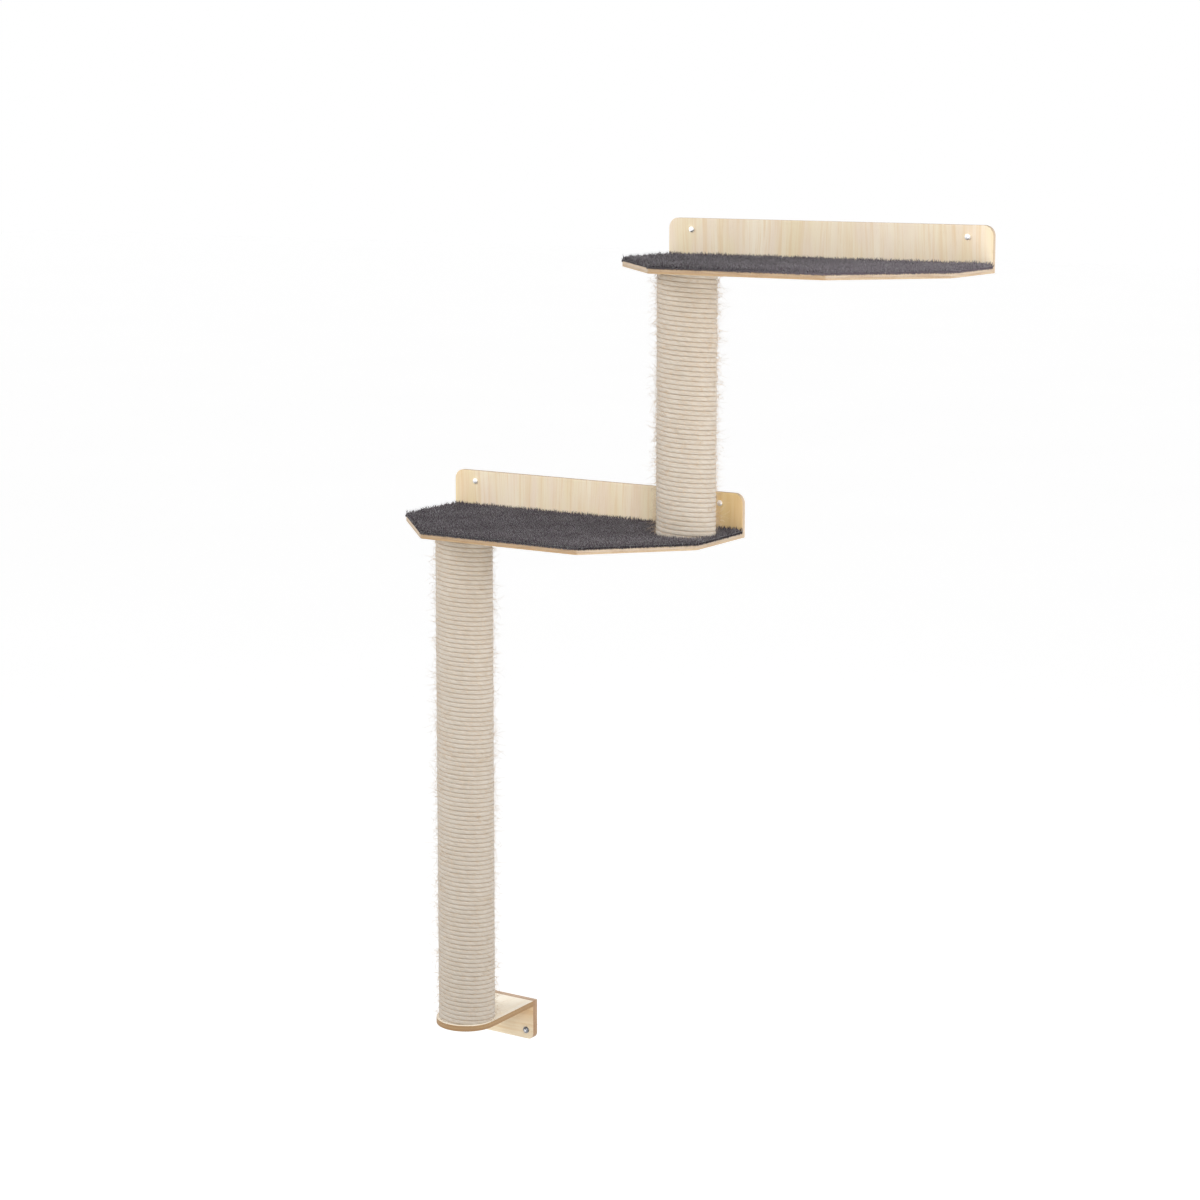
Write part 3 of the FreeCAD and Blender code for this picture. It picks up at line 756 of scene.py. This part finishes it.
class Plan:
    """A shelf board's plan: a rectangle without its two front corners, and a hole where a post stands."""

    def __init__(self, name, post=None):
        low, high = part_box(name + "_shelf_board")
        self.x0, self.x1, self.front, self.back = low.x, high.x, low.y, high.y
        self.top = high.z
        self.side = self.front + FRONT_CUT_DEEP
        self.hole = (post.x, post.y, post.radius + POST_GAP) if post else None

    def inside(self, x, y):
        """How far a point lies inside the free edges: the least distance to the sides, cuts and front."""
        lean = math.hypot(FRONT_CUT_ALONG, FRONT_CUT_DEEP)
        left = ((x - self.x0) * FRONT_CUT_DEEP + (y - self.side) * FRONT_CUT_ALONG) / lean
        right = ((self.x1 - x) * FRONT_CUT_DEEP + (y - self.side) * FRONT_CUT_ALONG) / lean
        return np.minimum.reduce([x - self.x0, self.x1 - x, y - self.front, left, right])

    def outwards(self, x, y):
        """The direction to the nearest free edge, by differences of the distance."""
        step, least = 1 * MM, 1e-9
        dx = self.inside(x + step, y) - self.inside(x - step, y)
        dy = self.inside(x, y + step) - self.inside(x, y - step)
        away = -np.stack([dx, dy, 0 * dx], -1)
        return away / np.maximum(np.linalg.norm(away, axis=1), least)[:, None]

    def area(self):
        """The rectangle less the two cut corners, which make half a rectangle each, and less the hole."""
        area = (self.x1 - self.x0) * (self.back - self.front) - FRONT_CUT_ALONG * FRONT_CUT_DEEP
        return area - (math.pi * self.hole[2] ** 2 if self.hole else 0)


def backing(name, plan, material):
    """The carpet's body: a closed slab on a grid whose rows shrink towards the front between the cuts.

    Its top is raised by the product of two ripples, one along the wall and one away from it.
    """
    rows, columns = BACKING_GRID
    y = np.linspace(plan.back - BACKING_BACK_GAP, plan.front, rows)
    cut = np.clip(plan.side - y, 0, None) * FRONT_CUT_ALONG / FRONT_CUT_DEEP
    share = np.linspace(0, 1, columns)
    x = (plan.x0 + cut)[:, None] + share[None, :] * (plan.x1 - plan.x0 - 2 * cut)[:, None]
    y = y[:, None] + 0 * x
    swell = ripple(x, SWELL_SEEDS[0], SWELL_WAVES_ALONG) * ripple(y, SWELL_SEEDS[1], SWELL_WAVES_DEEP)
    top = np.stack([x, y, plan.top + BACKING_HEIGHT + BACKING_SWELL * swell], -1)
    base = np.stack([x, y, np.full_like(x, plan.top)], -1)
    points = np.concatenate([top.reshape(-1, 3), base.reshape(-1, 3)])
    quads = grid_quads(rows, columns, False)
    below = quads[:, ::-1] + rows * columns
    index = np.arange(rows * columns).reshape(rows, columns)
    rim = np.concatenate([index[0, :-1], index[:-1, -1], index[-1, :0:-1], index[:0:-1, 0]])
    ahead = np.roll(rim, -1)
    walls = np.stack([rim, ahead, ahead + rows * columns, rim + rows * columns], 1)
    faces = np.concatenate([quads, below, walls])[:, ::-1]
    return mesh_piece(name, points, faces, material, {"tuft": np.tile(BACKING_SHADE, (len(points), 1))})


def cut_round(piece, x, y, radius):
    """Cuts an upright round hole through a piece, and keeps its materials and attributes."""
    bpy.ops.mesh.primitive_cylinder_add(vertices=HOLE_SIDES, radius=radius, depth=1, location=(x, y, 0))
    tool = bpy.context.object
    cut = piece.modifiers.new("cut", "BOOLEAN")
    cut.operation, cut.object, cut.solver = "DIFFERENCE", tool, "EXACT"
    tool.location.z = piece.data.vertices[0].co.z
    bpy.context.view_layer.update()
    mesh = bpy.data.meshes.new_from_object(piece.evaluated_get(bpy.context.evaluated_depsgraph_get()))
    piece.modifiers.clear()
    piece.data = mesh
    bpy.data.objects.remove(tool)


def scatter(plan, spacing, rng):
    """Points on a staggered grid over a plan, jittered, and kept off its hole."""
    jitter = spacing * JITTER_SHARE
    xs = np.arange(plan.x0 - spacing, plan.x1 + spacing, spacing)
    ys = np.arange(plan.front - spacing, plan.back + spacing, spacing * ROW_SHARE)
    x, y = np.meshgrid(xs, ys, indexing="ij")
    x = (x + spacing / 2 * (np.arange(len(ys)) % 2)).ravel() + rng.normal(0, jitter, x.size)
    y = np.minimum(y.ravel() + rng.normal(0, jitter, y.size), plan.back - PILE_BACK_GAP)
    keep = plan.inside(x, y) > PILE_EDGE_GAP
    if plan.hole:
        keep &= np.hypot(x - plan.hole[0], y - plan.hole[1]) > plan.hole[2] + PILE_POST_GAP
    return x[keep], y[keep]


def pile(name, plan, material, spacing, lengths, thickness, rings, seed):
    """Tapered hairs over a plan. They lean in slow waves, and outwards and down over the free edges.

    Each line is the way it points times t, plus its droop times the square of t, scaled to its length.
    Those with more than two rings are the long ones. They are longer and thicker towards every edge, where
    the photograph shows them stand out.
    """
    rng = np.random.default_rng(seed)
    x, y = scatter(plan, spacing, rng)
    count = x.size
    close = np.clip(1 - plan.inside(x, y) / CLOSE_BAND, 0, 1)
    out = plan.outwards(x, y)
    rising = ripple(x + y, LEAN_SEEDS[0], LEAN_WAVES_RISING)
    falling = ripple(x - y, LEAN_SEEDS[1], LEAN_WAVES_FALLING)
    lean = np.stack([rising, falling, 0 * x], -1) * WAVE_LEAN
    lean += rng.normal(0, RANDOM_LEAN, (count, 3)) * (1, 1, 0)
    lean += out * (close * CLOSE_LEAN)[:, None]
    way = lean + (0, 0, 1)
    way /= np.linalg.norm(way, axis=1)[:, None]
    droop = lean * DROOP_SHARE - np.outer(close ** 2 * rng.uniform(0.0, CLOSE_DROOP, count), (0, 0, 1))
    band, tip_share = 0, 1.0
    if rings > 2:
        near_wall = np.clip(WALL_BAND_SHARE - (plan.back - y) / EDGE_BAND, 0, 1)
        band = np.maximum(np.clip(1 - plan.inside(x, y) / EDGE_BAND, 0, 1), near_wall)
        tip_share = HAIR_TIP_SHARE
    swell = LENGTH_WAVE_SHARE * ripple(x, LENGTH_SEED, LENGTH_WAVES)
    length = rng.uniform(*lengths, count) * (1 + swell + EDGE_LENGTH_SHARE * band)
    t = np.linspace(0, 1, rings)[None, :, None]
    steps = (way[:, None] * t + droop[:, None] * t ** 2) * length[:, None, None]
    roots = np.stack([x, y, plan.top + BACKING_HEIGHT - ROOT_DEPTH - close * CLOSE_SINK], -1)
    roots += out * (close * CLOSE_SHIFT)[:, None]
    steps[..., 1] -= np.maximum((roots[:, None] + steps)[..., 1] - (plan.back - TIP_BACK_GAP), 0)
    thick = rng.uniform(*thickness, count) * (1 + EDGE_THICKNESS_SHARE * band)
    widths = np.outer(thick, np.linspace(1, HAIR_END_SHARE, rings - 1))
    return spikes(name, roots, steps, widths, material, "tuft", rng.uniform(0, 1, (count, 2)), tip_share)


def fringe(name, plan, material, seed):
    """A close row of tufts along the free edges, which bend out of the carpet and over the board's edge.

    Each goes out by a quarter turn of a sine, and down with the square of the place along it. On the left
    cut both are smaller.
    """
    rng = np.random.default_rng(seed)
    left, right = plan.x0 + FRONT_CUT_ALONG, plan.x1 - FRONT_CUT_ALONG
    corners = [(plan.x0, plan.back), (plan.x0, plan.side), (left, plan.front)]
    corners += [(right, plan.front), (plan.x1, plan.side), (plan.x1, plan.back)]
    corners = np.array(corners)
    ends = np.concatenate([[0], np.cumsum(np.linalg.norm(np.diff(corners, axis=0), axis=1))])
    place = np.arange(FRINGE_END_GAP, ends[-1] - FRINGE_END_GAP, FRINGE_SPACING)
    count = place.size
    cut = (ends[1], ends[1] + LEFT_CUT_BLEND, ends[2] - LEFT_CUT_BLEND, ends[2])
    share = np.interp(place, cut, (1, LEFT_CUT_SHARE, LEFT_CUT_SHARE, 1))[:, None, None]
    x, y = (np.interp(place, ends, corners[:, i]) for i in range(2))
    out = plan.outwards(x, y)
    height = rng.uniform(FRINGE_ROOT_GAP, BACKING_HEIGHT - FRINGE_ROOT_GAP, count)
    roots = np.stack([x, y, plan.top + height], -1)
    roots += out * rng.uniform(*FRINGE_ROOT_SHIFT, count)[:, None]
    t = np.linspace(0, 1, 3)[None, :, None]
    reach = rng.uniform(*FRINGE_REACH_SHARES, count)[:, None, None] * FRINGE_REACH
    drop = rng.uniform(*FRINGE_DROP, count)[:, None, None] * np.array([0, 0, 1.0])
    steps = (out[:, None] * reach * np.sin(t * math.pi / 2) - drop * t ** 2) * share
    widths = np.outer(rng.uniform(*TUFT_THICKNESS, count), [1, FRINGE_END_SHARE])
    values = rng.uniform(0, 1, (count, 2))
    return spikes(name, roots, steps, widths, material, "tuft", values, FRINGE_TIP_SHARE)


def screw_places(node):
    """Across and up, the middles of the two screws of a node: the means of its left and right halves."""
    co = np.array([v.co for v in NODES[node].data.vertices])
    split = co[:, 0].mean()
    return [co[side][:, (0, 2)].mean(0) for side in (co[:, 0] < split, co[:, 0] >= split)]


def threads(node, name, material):
    """A helical ridge on each wall screw where it is inside the wall: a thin triangle, swept round.

    While the angle grows by one turn, the depth in the wall grows by one pitch.
    """
    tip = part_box(node)[1].y
    turns = (tip - THREAD_TIP_GAP - THREAD_START) / THREAD_PITCH
    t = np.arange(int(turns * THREAD_STEPS) + 1) / THREAD_STEPS
    fade = np.clip(np.minimum(t, t[-1] - t) / THREAD_FADE_TURNS, THREAD_LEAST_SHARE, 1)
    section = np.array([(-THREAD_HALF_SHARE, 0.0), (0.0, 1.0), (THREAD_HALF_SHARE, 0.0)])
    pieces, faces = [], []
    for x, z in screw_places(node):
        out = THREAD_CORE + THREAD_HEIGHT * fade[:, None] * section[None, :, 1]
        angle = math.tau * t[:, None] + 0 * out
        y = THREAD_START + THREAD_PITCH * (t[:, None] + section[None, :, 0] * fade[:, None])
        points = np.stack([x + out * np.sin(angle), y, z + out * np.cos(angle)], -1)
        offset = sum(len(p) for p in pieces)
        pieces.append(points.reshape(-1, 3))
        faces.append(grid_quads(len(t), 3, True)[:, ::-1] + offset)
    return mesh_piece(name, np.concatenate(pieces), np.concatenate(faces), material)


def set_camera():
    """A camera at the photograph's place, from the fitted turn, tilt, focal length and optical axis."""
    turn, tilt = math.radians(CAMERA_TURN), math.radians(CAMERA_TILT)
    ahead = Vector((-math.sin(turn) * math.cos(tilt), math.cos(turn) * math.cos(tilt), -math.sin(tilt)))
    right = Vector((math.cos(turn), math.sin(turn), 0))
    up = right.cross(ahead)
    data = bpy.data.cameras.new("camera")
    data.sensor_width = SENSOR
    data.lens = PHOTO_FOCAL / PHOTO_SIDE * SENSOR
    data.shift_x = (PHOTO_SIDE / 2 - PHOTO_AXIS[0]) / PHOTO_SIDE
    data.shift_y = (PHOTO_AXIS[1] - PHOTO_SIDE / 2) / PHOTO_SIDE
    data.clip_end = CAMERA_REACH
    camera = bpy.data.objects.new("camera", data)
    turned = Matrix((right, up, -ahead)).transposed().to_4x4()
    camera.matrix_world = Matrix.Translation(CAMERA_PLACE) @ turned
    bpy.context.scene.collection.objects.link(camera)
    bpy.context.scene.camera = camera


def area_lamp(name, place, target, size, power):
    """A round lamp that faces its target."""
    data = bpy.data.lights.new(name, "AREA")
    data.shape, data.size, data.energy = "DISK", size, power
    lamp = bpy.data.objects.new(name, data)
    lamp.location = place
    lamp.rotation_euler = (Vector(target) - Vector(place)).to_track_quat("-Z", "Y").to_euler()
    bpy.context.scene.collection.objects.link(lamp)


def set_world():
    """An even white studio: full white for what the camera and reflections see, softer as light."""
    world = bpy.data.worlds.new("studio")
    world.use_nodes = True
    bpy.context.scene.world = world
    studio = Nodes(world.node_tree)
    background = world.node_tree.nodes["Background"]
    seen = studio.ray("Camera").either(studio.ray("Glossy")).either(studio.ray("Transmission"))
    studio.put(background.inputs["Strength"], seen.scaled(AMBIENT, 1.0))
    studio.put(background.inputs["Color"], WHITE)


def set_floor():
    """A pale floor below the part: white to the camera, apart from the part's soft shadow."""
    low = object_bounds()[0][2] - FLOOR_DROP
    finish = Finish("floor_white", Roughness=0.9, Emission_Strength=1.0)
    place = finish.place()
    cloud = finish.noise(place["x"] * 0.6, place["y"] * 0.6, 0.0)
    colour = finish.mix(cloud * 0.5, *FLOOR_TONES)
    seen = finish.ray("Camera") + finish.ray("Glossy")
    glow = finish.mix(seen, BLACK, (FLOOR_GLOW, FLOOR_GLOW, FLOOR_GLOW, 1))
    corners = [(-FLOOR_REACH, -FLOOR_REACH), (FLOOR_REACH, -FLOOR_REACH)]
    corners += [(FLOOR_REACH, FLOOR_REACH), (-FLOOR_REACH, FLOOR_REACH)]
    points = np.array([(x, y, low) for x, y in corners], float)
    material = finish.paint(Base_Color=colour, Emission_Color=glow)
    floor = mesh_piece("floor", points, np.array([[0, 1, 2, 3]]), material)


rope_material = rope_finish("sisal_rope")
fibre_material = fibre_finish("sisal_fibre")
carpet_materials = {
    "lower": carpet_finish("lower_carpet_pile"),
    "upper": carpet_finish("upper_carpet_pile", UPPER_PAINTED_SHEEN),
}
zinc = metal("zinc_plate", *ZINC_TONES, (0.28, 0.5))
bright_steel = metal("bright_zinc_plate", *BRIGHT_TONES, (0.5, 0.62))
tube_material = paper_tube("kraft_board")
plug_material = plug_wood("sawn_softwood")


def set_material(node, material):
    """Gives all faces of a CAD piece one material."""
    for slot in NODES[node].material_slots:
        slot.material = material


def dress_shelf(name):
    """The panel, the board and their screws."""
    node = name + "_back_panel"
    faces = LOWER_FACES if name == "lower" else UPPER_FACES
    looks = (faces, SHELF_PLIES, PANEL_SEEDS[name], PANEL_TINTS_AND_SHADES[name])
    set_material(node, plywood(name + "_panel_plywood", node, "y", "x", "z", *looks))
    node = name + "_shelf_board"
    looks = (UPPER_FACES, SHELF_PLIES, BOARD_SEEDS[name], (), END_GRAIN)
    set_material(node, plywood(name + "_board_plywood", node, "z", "x", "y", *looks))
    set_material(name + "_panel_screws", zinc)
    set_material(name + "_wall_screws", bright_steel)
    thread = threads(name + "_wall_screws", name + "_wall_screw_threads", bright_steel)
    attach(thread, "root")


def dress_carpet(name, post=None):
    """The backing with its pile, hairs and fringe, cut out round the post that stands on it."""
    plan = Plan(name, post)
    material, seed = carpet_materials[name], CARPET_SEEDS[name]
    base = backing(name + "_carpet_backing", plan, material)
    if post:
        cut_round(base, *plan.hole)
    tuft_sizes = (TUFT_SPACING, TUFT_LENGTH, TUFT_THICKNESS, 2)
    hair_sizes = (HAIR_SPACING, HAIR_LENGTH, HAIR_THICKNESS, 3)
    tufts = pile(name + "_carpet_pile", plan, material, *tuft_sizes, seed)
    hairs = pile(name + "_carpet_hairs", plan, material, *hair_sizes, seed + HAIR_SEED_STEP)
    edge = fringe(name + "_carpet_fringe", plan, material, seed + FRINGE_SEED_STEP)
    for piece in (base, tufts, hairs, edge):
        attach(piece, "root")
        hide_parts(name + "_carpet")
    plan.area()


def dress_post(name):
    """The winding with its loose fibres, and the tube, plugs and fasteners inside."""
    post, seed = Post(name), POST_SEEDS[name]
    loose = [
        fibres(post, name + "_rope_fibres", LONG_FIBRES[name], fibre_material, seed),
        fibres(post, name + "_rope_fuzz", SHORT_FIBRES[name], fibre_material, seed + FUZZ_SEED_STEP),
    ]
    for piece in rope_runs(post, rope_material) + loose:
        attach(piece, "root")
        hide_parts(name + "_rope")
    set_material(name + "_tube", tube_material)
    for part in ("top_plug", "bottom_plug"):
        set_material(f"{name}_{part}", plug_material)
    for part in ("tee_nuts", "plug_nails", "top_bolt", "bottom_bolt", "bottom_washer"):
        set_material(f"{name}_{part}", zinc)
    return post


def dress_bracket():
    """The plate, the back and their screws and washers."""
    looks = (PLATE_FACES, PLATE_PLIES, PLATE_SEED)
    set_material("bracket_plate", plywood("bracket_plate_plywood", "bracket_plate", "z", "x", "y", *looks))
    # The back's top turns warmer and darker: painted shade under the plate
    plate_shade = (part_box("bracket_back")[0].z + BACK_SHADE_RISE, BACK_SHADE_WIDTH, BACK_PAINTED_SHADE)
    looks = (BACK_FACES, BACK_PLIES, BACK_SEED, [plate_shade], END_GRAIN)
    set_material("bracket_back", plywood("bracket_back_plywood", "bracket_back", "y", "z", "x", *looks))
    set_material("bracket_plate_screws", zinc)
    nickel = metal_with_painted_light("nickel_plate", "bracket_wall_screws")
    set_material("bracket_wall_screws", nickel)
    set_material("bracket_wall_washers", nickel)
    thread = threads("bracket_wall_screws", "bracket_wall_screw_threads", nickel)
    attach(thread, "root")


posts = {name: dress_post(name) for name in SHELVES}
dress_carpet("lower", posts["upper"])
dress_carpet("upper")
for name in SHELVES:
    dress_shelf(name)
dress_bracket()

set_camera()
set_world()
set_floor()
for name, lamp in LAMPS.items():
    area_lamp(name, *lamp)
bpy.context.scene.view_settings.view_transform = "Standard"
